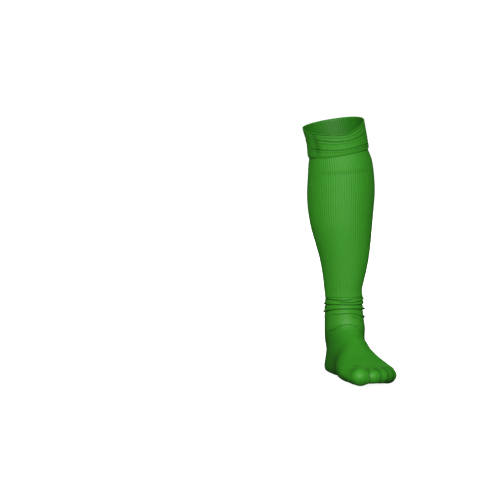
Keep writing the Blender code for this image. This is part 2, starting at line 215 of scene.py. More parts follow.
# %% [markdown]
# ## A curve through the rings
#
# A cubic curve runs through each field, from row to row. It passes through every row and has no kinks,
# which straight lines would have. The rows count from the floor under the ankle, but the frame's origin
# is the middle of the mouth. So every piece is shifted by the way between the two.


# %% A place between two rings
def sections_at(places):
    """The rings at these places. Each field has the same shape as places."""
    last = len(SECTIONS) - 1
    start = np.clip(places.astype(int), 0, last - 1)
    t = (places - start)[..., None]
    before, a, b, after = (SECTIONS[np.clip(start + step, 0, last)] for step in (-1, 0, 1, 2))
    curve = (
        2 * a
        + (b - before) * t
        + (2 * before - 5 * a + 4 * b - after) * t**2
        + (3 * a - before - 3 * b + after) * t**3
    )
    return Section(*np.moveaxis(curve / 2, -1, 0))


mouth = sections_at(np.array([0.0]))
FRAME_SHIFT = np.array(
    [-mouth.aside, -(mouth.front_y + mouth.back_y) / 2, -(mouth.front_z + mouth.back_z) / 2]
).reshape(3)
rise = np.round(-FRAME_SHIFT * 1000, 1)
print("from the floor under the ankle to the mouth's middle:", rise, "mm")


# %% [markdown]
# ## A grid of points
#
# Every piece is a grid: rings one below the other, with the same number of points on each. numpy works
# out the whole grid at once, which keeps a hundred thousand points quick. The inset moves a point
# inwards, and can be another number at every point: that is how ribs, creases and folds get their real
# depth.


# %% Points on the rings
SOLE_SQUARE = 0.6


def degrees_round(count):
    """Each column's direction: 0 at the front, 90 at the little toe's side, -90 at the big toe's."""
    return (np.arange(count) * 360 / count + 180) % 360 - 180


def ring_grid(places, inset):
    """Points at these places: one row for each ring, and the columns run round from the front."""
    ring = sections_at(places)
    angle = np.radians(degrees_round(places.shape[1]))[None, :]
    square = 1 / (1 + SOLE_SQUARE * np.maximum(ring.sole_flat, 0))
    power = np.where(np.cos(angle) < 0, square, 1.0)
    across = np.sign(np.sin(angle)) * np.abs(np.sin(angle)) ** power
    along = np.sign(np.cos(angle)) * np.abs(np.cos(angle)) ** power
    forward, upward = ring.front_y - ring.back_y, ring.front_z - ring.back_z
    reach = np.hypot(forward, upward) / 2
    sideways = across * (ring.half_width * (1 + ring.egg * along) - inset)
    lengthways = along * (reach - inset)
    y = (ring.front_y + ring.back_y) / 2 + forward / (2 * reach) * lengthways
    z = (ring.front_z + ring.back_z) / 2 + upward / (2 * reach) * lengthways
    y = y + ring.turn * sideways
    z = z + ring.side_up * sideways - ring.dip * along**2
    return np.stack([ring.aside + sideways, y, z], axis=2)


def level(places, count):
    """A grid of places whose rings each lie at one place."""
    return np.repeat(np.asarray(places, dtype=float)[:, None], count, axis=1)


def spaced(first, last, spacing):
    """Places from first to last whose rings lie about one spacing apart."""
    fine = np.linspace(first, last, 400)
    steps = np.diff(ring_grid(level(fine, 24), 0.0), axis=0)
    down = np.concatenate([[0], np.cumsum(np.linalg.norm(steps, axis=2).mean(axis=1))])
    return np.interp(np.linspace(0, down[-1], int(down[-1] / spacing) + 2), down, fine)


calf_ring = ring_grid(level([CALF], 360), 0.0)[0]
calf_girth = np.linalg.norm(calf_ring - np.roll(calf_ring, 1, axis=0), axis=1).sum()
print(f"the sock measures {calf_girth * 1000:.0f} mm round the calf")

# %% [markdown]
# ## Ribs and creases
#
# The leg is a rib knit: columns of stitches that stand forward, with a narrow valley between them. A
# band of such knit that is turned over doesn't lie flat, so it creases crosswise. At the ankle the sock
# is pushed down, and the spare length stacks up in narrow folds: the knit above each crease rolls
# forward over it. All this is modelled as real depth and not as a bump, so that it shows in the outline.
#
# A crease has a row in a table. Its track is a list of directions round the sock and the places where
# it runs there. Its depth is in millimetres and its breadth in places. Its crest says how far the knit
# beside it rolls forward, as a share of that depth: above the crease where it is positive, and beneath
# it where it is negative.


# %% Creases
Crease = namedtuple("Crease", "depth breadth crest track")
WHOLE_DEGREES = np.arange(-180, 180)
TRACK_SMOOTH = 17  # degrees over which a track's corners are rounded
TRACK_FADE = 14.0  # degrees over which a crease runs out at its ends
ROLL_AWAY, ROLL_BREADTH = 2.3, 1.5  # where the crest lies and how wide it is, in breadths


def soft_step(share):
    """0 up to a share of 0, 1 from a share of 1, and a smooth slope between."""
    share = np.clip(share, 0, 1)
    return share * share * (3 - 2 * share)


def along_track(track, degrees):
    """A smooth line through a track's places, read at these directions."""
    known, places = np.array(track).T
    line = np.interp(WHOLE_DEGREES, known, places)
    window = np.hanning(TRACK_SMOOTH)
    half = TRACK_SMOOTH // 2
    wrapped = np.concatenate([line[-half:], line, line[:half]])
    line = np.convolve(wrapped, window / window.sum(), mode="valid")
    return np.interp(degrees, WHOLE_DEGREES, line, period=360)


def crease_grid(creases, places):
    """How far creases draw each point in, in metres, and how much painted shade they put on it."""
    degrees = degrees_round(places.shape[1])
    inset, shade = np.zeros(places.shape), np.zeros(places.shape)
    for crease in creases:
        first, last = crease.track[0][0], crease.track[-1][0]
        whole = last - first == 360
        fade = min(TRACK_FADE, (last - first) / 2)
        near_end = np.minimum(degrees - first, last - degrees)
        reach = 1.0 if whole else soft_step(near_end / fade)
        below = (places - along_track(crease.track, degrees)) / crease.breadth
        line = np.exp(-(below**2))
        side = math.copysign(1, crease.crest)
        roll = np.exp(-(((below * side + ROLL_AWAY) / ROLL_BREADTH) ** 2))
        inset += crease.depth * reach * (line - abs(crease.crest) * roll)
        shade += crease.depth * reach * line
    return inset / 1000, np.clip(shade, 0, 1)


print(f"a crease runs out over {TRACK_FADE:.0f} degrees at its ends")

# %% Ribs
rib_count = 84
RIB_VALLEY = 0.20  # half a valley's width, in ribs


def ribs_round(places):
    """Valleys between ribs, from 0 on a rib to 1 in a valley. Each rib has as many points."""
    phase = np.arange(places.shape[1]) * rib_count / places.shape[1]
    away = np.abs((phase + 0.5) % 1 - 0.5)
    return np.exp(-((away / RIB_VALLEY) ** 2))[None, :] * np.ones(places.shape)


print(f"a rib is {calf_girth / rib_count * 1000:.1f} mm wide at the calf")

# %% [markdown]
# ## Where the creases run
#
# The band has two long creases that sink towards the front, two shorter ones beside them and two at
# the back. A wide shallow dent lies on its big toe's side, and a faint crease crosses the leg's front
# below it. The ankle has a stack of folds, two of them right round. The seam, where the ankle's plain
# knit meets the foot, pulls in a thin line over the instep, with a fainter one above it, and a wider
# crease runs from it down the little toe's side. Where the toes meet the foot, a faint crease and a
# small pit lie beside the big toe.

# %% Tables of creases
BAND_CREASES = [
    Crease(0.5, 0.045, -0.6, ((-50, 0.44), (-35, 0.50), (-3, 0.64), (22, 0.60), (50, 0.46))),
    Crease(0.8, 0.045, -0.8, (
        (-66, 0.60), (-36, 0.73), (-22, 0.83), (10, 0.91), (22, 0.87), (36, 0.82), (62, 0.78),
    )),
    Crease(0.9, 0.045, -0.8, (
        (-88, 1.28), (-61, 1.34), (-43, 1.45), (-25, 1.58), (-7, 1.66), (26, 1.63), (80, 1.60),
    )),
    Crease(0.5, 0.045, -0.8, ((8, 1.86), (26, 1.83), (50, 1.80), (90, 1.76))),
    Crease(0.6, 0.050, -0.6, ((95, 1.10), (120, 1.16), (150, 1.05), (176, 1.00))),
    Crease(0.6, 0.050, -0.6, ((-176, 0.80), (-150, 0.84), (-120, 0.74), (-90, 0.66))),
]
BAND_DENTS = [Crease(1.2, 1.0, 0.0, ((-74, 1.1), (-50, 1.1)))]
LEG_CREASES = [Crease(0.45, 0.10, 0.5, ((-60, 3.58), (-20, 3.62), (15, 3.62), (45, 3.60)))]
ANKLE_CREASES = [
    Crease(1.2, 0.070, 0.9, (
        (-150, 11.9), (-85, 12.06), (-56, 12.24), (-33, 12.34), (-12, 12.36), (12, 12.20),
    )),
    Crease(1.1, 0.060, 0.8, (
        (-40, 12.58), (-4, 12.72), (13, 12.68), (30, 12.54), (60, 12.36), (110, 12.3),
    )),
    Crease(1.3, 0.070, 0.9, (
        (-180, 12.9), (-91, 12.80), (-56, 12.88), (-33, 13.0), (9, 13.12), (90, 12.9),
        (180, 12.9),
    )),
    Crease(1.5, 0.070, 1.0, (
        (-180, 13.8), (-87, 13.80), (-46, 13.65), (13, 13.76), (90, 13.8), (180, 13.8),
    )),
    Crease(0.9, 0.065, 0.7, (
        (-60, 14.30), (-34, 14.46), (-8, 14.44), (8, 14.52), (22, 14.70), (35, 14.88),
        (110, 15.0),
    )),
    Crease(0.6, 0.150, 0.6, ((-2, 14.95), (7, 15.08), (20, 15.36), (30, 15.70), (60, 16.2))),
    Crease(0.35, 0.06, 0.3, ((-86, 14.2), (-70, 14.30), (-50, 14.5), (-36, 14.75))),
    Crease(0.7, 0.120, 0.6, ((-176, 15.2), (-130, 14.8), (-100, 14.6))),
    Crease(0.7, 0.120, 0.6, ((110, 14.4), (150, 14.9), (176, 15.1))),
]
SEAM_CREASES = [
    Crease(0.8, 0.085, 0.3, (
        (-80, 16.95), (-67, 16.95), (-48, 17.08), (-34, 16.85), (-24, 16.72), (-15, 16.74),
        (-1, 16.95), (10, 17.42), (24, 18.6),
    )),
    Crease(0.8, 0.20, 0.2, (
        (4, 17.05), (10, 17.42), (19, 18.25), (31, 19.0), (48, 19.7), (84, 20.4),
    )),
    Crease(0.35, 0.07, 0.2, ((-84, 16.6), (-67, 16.62), (-48, 16.60), (-30, 16.45))),
]
TOE_CREASES = [
    Crease(0.7, 0.16, 0.0, (
        (-42, 27.6), (-35, 27.62), (-26, 27.8), (-18, 28.08), (-13, 28.5), (-12, 29.66),
    )),
    Crease(0.9, 0.30, 0.0, ((-19, 29.70), (-13, 29.70), (-7, 29.70))),
]
print(len(BAND_CREASES), "creases in the band,", len(ANKLE_CREASES), "at the ankle")

# %% [markdown]
# ## Making a piece from its grid
#
# A piece of knit is a closed wall. Its rings run down the outside, turn at the edge and run back up the
# inside, and the last ring joins the first. The mesh also keeps a UV map, which is what the knit's
# pattern follows: across it counts once round the sock, and down it is in metres. One more attribute
# keeps painted shade: how deep each point lies in a valley or crease, where the colour is painted
# darker.


# %% Mesh from a grid
def grid_faces(rows, count, closed):
    """Corners of a grid's faces, as rows and columns. Where closed is true, the rows join too."""
    i, j = np.meshgrid(np.arange(rows if closed else rows - 1), np.arange(count), indexing="ij")
    below = (i + 1) % rows
    corner_row = np.stack([i, below, below, i], axis=2).reshape(-1, 4)
    corner_column = np.stack([j, j, j + 1, j + 1], axis=2).reshape(-1, 4)
    return corner_row, corner_column


def way_down(grid):
    """How far down each point lies, in metres, measured along its own column."""
    steps = np.linalg.norm(np.diff(grid, axis=0), axis=2)
    return np.concatenate([np.zeros((1, grid.shape[1])), np.cumsum(steps, axis=0)])


def mesh_object(name, points, faces):
    mesh = bpy.data.meshes.new(name)
    mesh.from_pydata(points, [], faces)
    mesh.shade_smooth()
    thing = bpy.data.objects.new(name, mesh)
    bpy.context.scene.collection.objects.link(thing)
    return thing


def make_piece(name, grid, down, attributes, closed=True, caps=()):
    """A mesh from a grid. caps: more faces, each as the corners' rows and columns."""
    rows, count = grid.shape[:2]
    corner_row, corner_column = grid_faces(rows, count, closed)
    faces = (corner_row * count + corner_column % count).tolist()
    corner_row, corner_column = corner_row.ravel(), corner_column.ravel()
    for cap_rows, cap_columns in caps:
        cap_rows, cap_columns = np.array(cap_rows), np.array(cap_columns)
        faces.append((cap_rows * count + cap_columns % count).tolist())
        corner_row = np.concatenate([corner_row, cap_rows])
        corner_column = np.concatenate([corner_column, cap_columns])
    piece = mesh_object(name, (grid.reshape(-1, 3) + FRAME_SHIFT).tolist(), faces)
    mesh = piece.data
    uv = np.stack([corner_column / count, down[corner_row, corner_column % count]], axis=1)
    mesh.uv_layers.new(name="knit").data.foreach_set("uv", uv.astype(np.float32).ravel())
    for label, values in attributes.items():
        layer = mesh.attributes.new(label, "FLOAT", "POINT")
        layer.data.foreach_set("value", values.astype(np.float32).ravel())
    solid = bmesh.new()
    solid.from_mesh(mesh)
    print(f"{name}: {len(faces)} faces round {solid.calc_volume(signed=True) * 1e6:.1f} cm3 of knit")
    solid.free()
    return piece


# %% [markdown]
# ## The cuff
#
# The top of the leg is turned down over itself. At the fold the knit rolls into a thin round lip, with
# a groove under it. The lip sags a little at the front, and so does the hem, the band's loose lower
# edge. Both lines have a track, as the creases have. A solidified tube would give both edges the same
# square section, so the wall is built ring by ring: lip, outside, and the side that nobody sees.

# %% Lines of the lip and the hem
RIB_POINTS = 6
ribbed_points = RIB_POINTS * rib_count
RIM_TRACK = (
    (-180, -0.02), (-150, -0.04), (-120, -0.04), (-96, -0.03), (-67, 0.08), (-49, 0.11),
    (-24, 0.19), (-3, 0.30), (14, 0.29), (32, 0.15), (58, 0.02), (80, 0.03), (110, 0.08),
    (130, 0.07), (150, 0.04), (180, -0.02),
)
HEM_TRACK = (
    (-180, 2.00), (-120, 2.00), (-83, 2.02), (-61, 2.07), (-43, 2.14), (-29, 2.16),
    (-12, 2.15), (6, 2.12), (23, 2.10), (50, 2.05), (90, 2.00), (180, 2.00),
)
rim = along_track(RIM_TRACK, degrees_round(ribbed_points))
hem = along_track(HEM_TRACK, degrees_round(ribbed_points))
print(ribbed_points, "points round the band,", RIB_POINTS, "for each rib")

# %% The turned-over cuff
piece_gap = 0.0003
band_wall = 0.0026
rib_depth = 0.0005
lip_roll = 0.0009
LIP_RADIUS = 0.00125
LIP_ROWS = 0.06
LIP_TURN = (172, 12)  # degrees over the lip, from its inner side to its outer side
LIP_RINGS = 11
GROOVE_DEPTH = 0.0017
GROOVE_ROWS = 0.040
HEM_ROUND = 0.0017
HEM_RINGS = 5.0
BAND_RINGS = 64
HIDDEN_RINGS = 10
# painted shade in the band: the ribs' valleys, the creases, the dent and the groove under the lip are
# painted darker
RIB_SHADE, CREASE_SHADE, DENT_SHADE, UNDER_LIP_SHADE = 0.22, 0.9, 0.35, 1.3
LIP_RIB_SHADE, LIP_LIGHT = 0.10, 0.40  # painted highlight: the lip's colour is painted paler, where it catches light


def cuff_grid():
    outside = -piece_gap - band_wall
    top = rim + LIP_ROWS
    share = np.linspace(0, 1, BAND_RINGS)[:, None]
    places = blend(top, hem, share)
    ribs = ribs_round(places)
    creases, shade = crease_grid(BAND_CREASES, places)
    dents, dent_shade = crease_grid(BAND_DENTS, places)
    groove = np.exp(-(((places - top) / GROOVE_ROWS - 1) ** 2))
    edge = np.exp(-(1 - share) * BAND_RINGS / HEM_RINGS)
    inset = outside + rib_depth * ribs * (1 - groove) + creases + dents
    inset = inset + GROOVE_DEPTH * groove + HEM_ROUND * edge
    turns = np.radians(np.linspace(*LIP_TURN, LIP_RINGS))[:, None]
    lip_places = rim + LIP_ROWS * (1 - np.sin(turns))
    lip_inset = outside + LIP_RADIUS * (1 - np.cos(turns)) - lip_roll * np.sin(turns / 2) ** 8
    hidden = blend(hem, top, np.linspace(0, 1, HIDDEN_RINGS)[:, None])
    grid = np.concatenate([
        ring_grid(lip_places, lip_inset),
        ring_grid(places, inset),
        ring_grid(hidden, -piece_gap),
    ])
    # painted shade, and on the lip a painted highlight from a negative share; the hidden side is painted
    # fully dark
    shade = RIB_SHADE * ribs + CREASE_SHADE * shade + DENT_SHADE * dent_shade
    shade = np.clip(shade + UNDER_LIP_SHADE * groove, 0, 1)
    lip_shade = LIP_RIB_SHADE * ribs_round(lip_places) - LIP_LIGHT
    painted_shade = np.concatenate([lip_shade, shade, np.ones(hidden.shape)])
    return grid, way_down(grid), {"painted_shade": painted_shade}


cuff = make_piece("turned_cuff", *cuff_grid())

# %% [markdown]
# ## The leg
#
# The leg is the same rib knit in one layer. Its ribs run from under the cuff to the ankle, and they
# show on the inside too, where the mouth stands open. Its top edge tapers, so that it hides behind the
# lip.

# %% The ribbed leg
wall = 0.002
LEG_SPACING = 0.0030
LEG_END = ANKLE_START - 0.01
leg_places = spaced(HEM - 0.1, LEG_END, LEG_SPACING)
COVERED_RINGS = 10
INNER_RINGS = 90
UNDER_BAND = 0.15  # places above the hem where the ribs begin, hidden by the band
EDGE_WALL = 0.0002
INNER_RELIEF = 0.5  # how deep the inside's ribs are, as a share of the outside's
RIBS_IN, RIBS_OUT, THICKEN, RELIEF_IN = 0.1, 0.4, 1.2, 0.3  # places over which each comes or goes
# painted shade on the leg: the ribs' valleys and the crease outside, and the whole inside of the mouth,
# are painted darker
OUTER_RIB_SHADE, OUTER_CREASE_SHADE = 0.20, 0.4
INNER_SHADE, INNER_RIB_SHADE = 0.42, 0.6


def leg_grid():
    top = rim + LIP_ROWS
    covered = blend(top, HEM - UNDER_BAND, np.linspace(0, 1, COVERED_RINGS)[:, None])
    places = np.concatenate([covered, level(leg_places, ribbed_points)])
    first_ribs = soft_step((places - HEM + UNDER_BAND) / RIBS_IN)
    ribs = ribs_round(places) * first_ribs * soft_step((ANKLE_START - places) / RIBS_OUT)
    creases, shade = crease_grid(LEG_CREASES, places)
    outer = ring_grid(places, rib_depth * ribs + creases)
    bottom = np.full(ribbed_points, LEG_END)
    inside = blend(bottom, top, np.linspace(0, 1, INNER_RINGS)[:, None])
    inside_ribs = ribs_round(inside)
    thickness = blend(EDGE_WALL, wall, soft_step((inside - top) / THICKEN))
    relief = INNER_RELIEF * rib_depth * (1 - inside_ribs) * soft_step((inside - top) / RELIEF_IN)
    grid = np.concatenate([outer, ring_grid(inside, thickness + relief)])
    outer_shade = np.clip(OUTER_RIB_SHADE * ribs + OUTER_CREASE_SHADE * shade, 0, 1)
    painted_shade = np.concatenate([outer_shade, INNER_SHADE + INNER_RIB_SHADE * inside_ribs])
    return grid, way_down(grid), {"painted_shade": painted_shade}


leg = make_piece("ribbed_leg", *leg_grid())
print(f"below the cuff it has {len(leg_places)} rings, {LEG_SPACING * 1000:.0f} mm apart")

# %% [markdown]
# ## The ankle
#
# Below the ribs the knit is plain and stretched. Between its creases it swells out on the big toe's
# side, and on both sides short rolls stand out of the outline like knobs, where a fold turns the
# corner. The rings lie less than half a millimetre apart, because a fold is only a few of them high.

# %% Knobs at the ends of the folds
Knob = namedtuple("Knob", "place degrees height")
KNOBS = [Knob(*row) for row in (
    (11.45, 78, 2.2), (12.12, 80, 1.5), (12.62, 80, 1.2), (13.55, 76, 3.6), (14.72, 74, 2.4),
    (11.80, -108, 1.6), (12.62, -106, 1.0), (13.10, -108, 0.8), (13.62, -106, 1.4),
)]
KNOB_ROWS = 0.17
KNOB_DEGREES = 26.0


def knobs_on(places):
    degrees = degrees_round(places.shape[1])
    out = np.zeros(places.shape)
    for knob in KNOBS:
        away = ((degrees - knob.degrees + 180) % 360 - 180) / KNOB_DEGREES
        out += knob.height * np.exp(-(away**2) - ((places - knob.place) / KNOB_ROWS) ** 2)
    return out / 1000


print(len(KNOBS), "knobs, up to", max(knob.height for knob in KNOBS), "mm high")

# %% The ankle's folds
ankle_points = 400
ANKLE_SPACING = 0.00045
ANKLE_SWELL = 0.0012
SWELL_ENDS, SWELL_FADES = (20, -190), (60, 40)  # degrees: in front and behind
# painted shade in the ankle's folds and seam lines; the inside is painted fully dark
ANKLE_SHADE = 0.5
INNER_STEP = 4  # the inside has a ring for every fourth ring outside
KNIT_TUCK = 0.0002  # how far a piece's first rings sink in where it meets the piece above
TUCK_PLACES = 0.1


def ankle_grid():
    places = level(spaced(ANKLE_START - 0.06, SEAM - 0.005, ANKLE_SPACING), ankle_points)
    creases, shade = crease_grid(ANKLE_CREASES + SEAM_CREASES, places)
    degrees = degrees_round(ankle_points)
    share = np.clip((places - ANKLE_START) / (SEAM - ANKLE_START), 0, 1)
    in_front = soft_step((SWELL_ENDS[0] - degrees) / SWELL_FADES[0])
    big_toe_side = in_front * soft_step((degrees - SWELL_ENDS[1]) / SWELL_FADES[1])
    inset = creases - knobs_on(places) - ANKLE_SWELL * big_toe_side * np.sin(math.pi * share)
    tuck = KNIT_TUCK * soft_step((ANKLE_START + TUCK_PLACES / 2 - places) / TUCK_PLACES)
    inside = places[::-INNER_STEP]
    inner = ring_grid(inside, wall + inset[::-INNER_STEP])
    grid = np.concatenate([ring_grid(places, inset + tuck), inner])
    painted_shade = np.concatenate([ANKLE_SHADE * shade, np.ones(inside.shape)])
    return grid, way_down(grid), {"painted_shade": painted_shade}


ankle = make_piece("ankle_folds", *ankle_grid())

# %% [markdown]
# ## The foot
#
# The foot is closed at the toes. The knit bridges the five toes, so they show as soft mounds with
# shallow grooves. The toes are five capsules, and a smooth distance to all of them is what the knit is
# pressed onto. Metaballs would melt together in much the same way, but here each point keeps its own
# ring and column, which the knit's pattern needs.
#
# In a toe's row, root and aside say how far to the side its two ends lie, as shares of the foot's
# width, and tip how far forward it reaches, as a share of the foot's length. Knuckle and nose are the
# heights of its two ends, and they and its radius are shares of the toes' height.

# %% Toes under the knit
ToeRow = namedtuple("ToeRow", "root aside tip knuckle nose radius")
TOE_ROWS = [
    ToeRow(-0.345, -0.290, 0.764, 0.56, 0.610, 0.505),
    ToeRow(-0.120, -0.064, 0.758, 0.74, 0.630, 0.330),
    ToeRow(0.070, 0.084, 0.737, 0.74, 0.610, 0.316),
    ToeRow(0.220, 0.200, 0.708, 0.68, 0.590, 0.320),
    ToeRow(0.370, 0.308, 0.667, 0.54, 0.535, 0.400),
]
TOE_ROOT = 0.50
print("toe tips, in mm from the ankle:", [round(toe.tip * foot_length * 1000) for toe in TOE_ROWS])

# %% [markdown]
# ## A smooth distance
#
# One toe's distance is simple: from the line through its middle, less its radius. The smooth distance
# adds up how near all five are. Where two are equally near it is less than either, so the knit bridges
# the groove between them, and the softness says how widely.

# %% Distance to the toes
groove_softness = 0.0034
OUTER_SOFTNESS = 0.0050
OUTER_START, OUTER_FADE = -0.010, 0.020  # the outer toes begin this far across
UNDER_SOFTNESS = 0.0060
UNDER_INSET = 0.0011
UNDER_TOP, UNDER_FADE = 0.019, 0.010  # the underside begins below this height
GROOVE_START, GROOVE_FULL = 0.150, 0.170  # how far forward the grooves' shade begins
GROOVE_GAIN, GROOVE_POWER = 1.1, 4  # a higher power makes a thinner line


def nearness(points, softness):
    """How near each toe is to each point: the first index is the toe's."""
    near = []
    for toe in TOE_ROWS:
        radius = toe.radius * toe_height
        side = toe.aside * foot_width
        root = np.array([toe.root * foot_width, -TOE_ROOT * foot_length, toe.knuckle * toe_height])
        tip = np.array([side, radius - toe.tip * foot_length, toe.nose * toe_height])
        bone = tip - root
        share = np.clip((points - root) @ bone / (bone @ bone), 0, 1)
        distance = np.linalg.norm(points - root - share[:, :, None] * bone, axis=2) - radius
        near.append(np.exp(-distance / softness))
    return np.array(near)


def toe_distance(points, inset):
    """Distance outside the toes. The knit bridges them more widely underneath than on top."""
    under = soft_step((UNDER_TOP - points[:, :, 2]) / UNDER_FADE)
    outer = soft_step((points[:, :, 0] - OUTER_START) / OUTER_FADE)
    softness = blend(blend(groove_softness, OUTER_SOFTNESS, outer), UNDER_SOFTNESS, under)
    return inset + UNDER_INSET * under - softness * np.log(nearness(points, softness).sum(axis=0))


def groove_shade(points):
    """Painted shade between the toes: 1 where two toes are equally near, in the groove between their
    tips, and 0 on a toe.
    """
    near = nearness(points, groove_softness)
    between = 2 * (1 - near.max(axis=0) / near.sum(axis=0))
    forward = soft_step((-points[:, :, 1] - GROOVE_START) / (GROOVE_FULL - GROOVE_START))
    return np.clip(GROOVE_GAIN * between, 0, 1) ** GROOVE_POWER * forward


print(f"softness: {groove_softness * 1000:.1f} mm on top, {UNDER_SOFTNESS * 1000:.0f} mm underneath")

# %% [markdown]
# ## Pressing the knit onto the toes
#
# The foot's own rings give the columns and the line through its middle. From that line a ray goes out
# to each point, and a search halves the stretch in which the surface lies until it is found. Near the
# toes the pressed form takes over by and by, so no edge shows where it begins. The last rings all lie
# at one place and turn forward about it, as the ribs of a fan do, and so they wrap the toes' ends.

# %% Rings with the toes in them
TOE_BLEND = 0.18
TOE_REACH = (0.25, 3.0)  # the stretch that is searched, as shares of the way to the plain ring
SEARCH_STEPS = 22


def toe_grid(places, turns, inset):
    """Rings with the toes' form pressed in. turns: degrees by which each ring is turned ahead."""
    plain = ring_grid(places, 0.0)
    section = sections_at(places)
    middle_y = (section.front_y + section.back_y) / 2
    middle_z = (section.front_z + section.back_z) / 2
    half_height = (section.front_z - section.back_z) / 2
    slack = section.half_width - half_height
    sideways = np.clip(plain[:, :, 0] - section.aside, -slack, slack)
    core_y = middle_y + section.turn * sideways
    core_z = middle_z + section.side_up * sideways
    core = np.stack([section.aside + sideways, core_y, core_z], axis=2)
    turn = np.radians(turns)[:, None]
    ray = np.cos(turn)[:, :, None] * (plain - core)
    ray[:, :, 1] -= half_height * np.sin(turn)
    near, far = (np.full(places.shape, reach) for reach in TOE_REACH)
    for _ in range(SEARCH_STEPS):
        middle = (near + far) / 2
        outside = toe_distance(core + middle[:, :, None] * ray, inset) > 0
        far = np.where(outside, middle, far)
        near = np.where(outside, near, middle)
    pressed = core + near[:, :, None] * ray
    share = soft_step((-middle_y / foot_length - TOE_ROOT) / TOE_BLEND)[:, :, None]
    return blend(ring_grid(places, inset), pressed, share)


error = (TOE_REACH[1] - TOE_REACH[0]) / 2**SEARCH_STEPS * toe_height / 2
print(f"the search finds the surface to within {error * 1e9:.0f} millionths of a millimetre")

# %% The foot's rings
foot_points = 320
FIRST_TOE_RING = SEAM + 10
NEAR_SEAM = 3.5  # places below the seam in which the rings lie closest, for its creases
LAST_TURN = 84


def foot_half(seam_spacing, spacing, cap_count, inset):
    """Rings of one side of the knit, from the seam to the toes' ends, and their painted shade."""
    near_seam = spaced(SEAM - 0.05, SEAM + NEAR_SEAM, seam_spacing)
    instep = spaced(SEAM + NEAR_SEAM, FIRST_TOE_RING, spacing)[1:-1]
    body = level(np.concatenate([near_seam, instep]), foot_points)
    toes = level(spaced(FIRST_TOE_RING, CAP, spacing), foot_points)
    cap = level(np.full(cap_count, CAP), foot_points)
    turns = np.linspace(0, LAST_TURN, cap_count + 1)[1:]
    creases, shade = crease_grid(SEAM_CREASES, body)
    tuck = KNIT_TUCK * soft_step((SEAM + TUCK_PLACES / 2 - body) / TUCK_PLACES)
    toe_creases, toe_shade = crease_grid(TOE_CREASES, toes)
    toe_rings = toe_grid(toes, np.zeros(len(toes)), inset + toe_creases)
    cap_rings = toe_grid(cap, turns, inset)
    toe_shade = np.maximum(toe_shade, groove_shade(toe_rings))
    grid = np.concatenate([ring_grid(body, inset + creases + tuck), toe_rings, cap_rings])
    return grid, np.concatenate([shade, toe_shade, groove_shade(cap_rings)])


def toe_closing(row, outside):
    """Faces that close the last ring at the toes' ends, from its top to its underside."""
    side = foot_points // 4
    faces = []
    for k in range(foot_points // 2):
        corners = (side - k, side + k, side + k + 1, side - k - 1)
        columns = list(dict.fromkeys(corner % foot_points for corner in corners))
        faces.append(([row] * len(columns), columns if outside else columns[::-1]))
    return faces


outer, outer_shade = foot_half(seam_spacing=0.0006, spacing=0.0013, cap_count=14, inset=0.0)
inner, _ = foot_half(seam_spacing=0.0060, spacing=0.0060, cap_count=6, inset=wall)
print(len(outer), "rings outside and", len(inner), "inside")

# %% [markdown]
# ## The closed foot
#
# The inside runs up from the toes' ends to the seam, and the outside down again. Another attribute
# marks where the instep is a mesh knit: on top of the foot, above a line that sinks towards the toes,
# and not on the toes themselves.

# %% The foot with its mesh zone
MESH_END = 0.128
MESH_LINE = ([0.03, 0.06, 0.10, 0.13], [0.045, 0.040, 0.024, 0.018])  # forward, and height there
MESH_FADE_UP, MESH_FADE_FORWARD = 0.008, 0.012
# painted shade on the foot: the seam's creases and the toes' grooves are painted darker; the inside is
# painted fully dark
FOOT_SHADE = 0.68
foot_grid = np.concatenate([inner[::-1], outer])
foot_down = np.concatenate([way_down(inner)[::-1], way_down(outer)])
foot_painted_shade = np.concatenate([np.ones(inner.shape[:2]), FOOT_SHADE * outer_shade])
side_line = np.interp(-foot_grid[:, :, 1], *MESH_LINE)
mesh_zone = soft_step((foot_grid[:, :, 2] - side_line) / MESH_FADE_UP)
mesh_zone = mesh_zone * soft_step((MESH_END + foot_grid[:, :, 1]) / MESH_FADE_FORWARD)
caps = toe_closing(0, True) + toe_closing(len(foot_grid) - 1, False)
zones = {"painted_shade": foot_painted_shade, "mesh_zone": mesh_zone}
foot = make_piece("foot_knit", foot_grid, foot_down, zones, closed=False, caps=caps)

# %% [markdown]
# ## Colour and shading nodes
#
# Colours are written as the hex values that a paint chart gives. Blender works in linear light, so one
# function turns them. Another adds a shader node with its settings and its links.


# %% Helpers for materials
def linear(hex_colour):
    channels = [int(hex_colour[i : i + 2], 16) / 255 for i in (1, 3, 5)]
    return (*[c / 12.92 if c <= 0.04045 else ((c + 0.055) / 1.055) ** 2.4 for c in channels], 1.0)


def set_up(node, settings):
    """Sets a node's properties and its inputs' values."""
    for key, value in settings.items():
        if isinstance(key, str) and hasattr(node, key):
            setattr(node, key, value)
        else:
            node.inputs[key].default_value = value


def add_node(tree, kind, settings=None, links=None):
    """Adds a shader node and sets it up. links: what feeds its inputs."""
    node = tree.nodes.new("ShaderNode" + kind)
    set_up(node, settings or {})
    for key, source in (links or {}).items():
        socket = source if isinstance(source, bpy.types.NodeSocket) else source.outputs[0]
        tree.links.new(socket, node.inputs[key])
    return node


def math_node(tree, operation, *inputs, clamp=False):
    """Adds a node that calculates. Each input is a number, a node or a node's output."""
    numbers = {i: value for i, value in enumerate(inputs) if isinstance(value, float)}
    links = {i: value for i, value in enumerate(inputs) if i not in numbers}
    settings = {"operation": operation, "use_clamp": clamp, **numbers}
    return add_node(tree, "Math", settings, links)


LEG_GREEN = "#35951b"
print("the leg's green in linear light:", [round(c, 3) for c in linear(LEG_GREEN)])

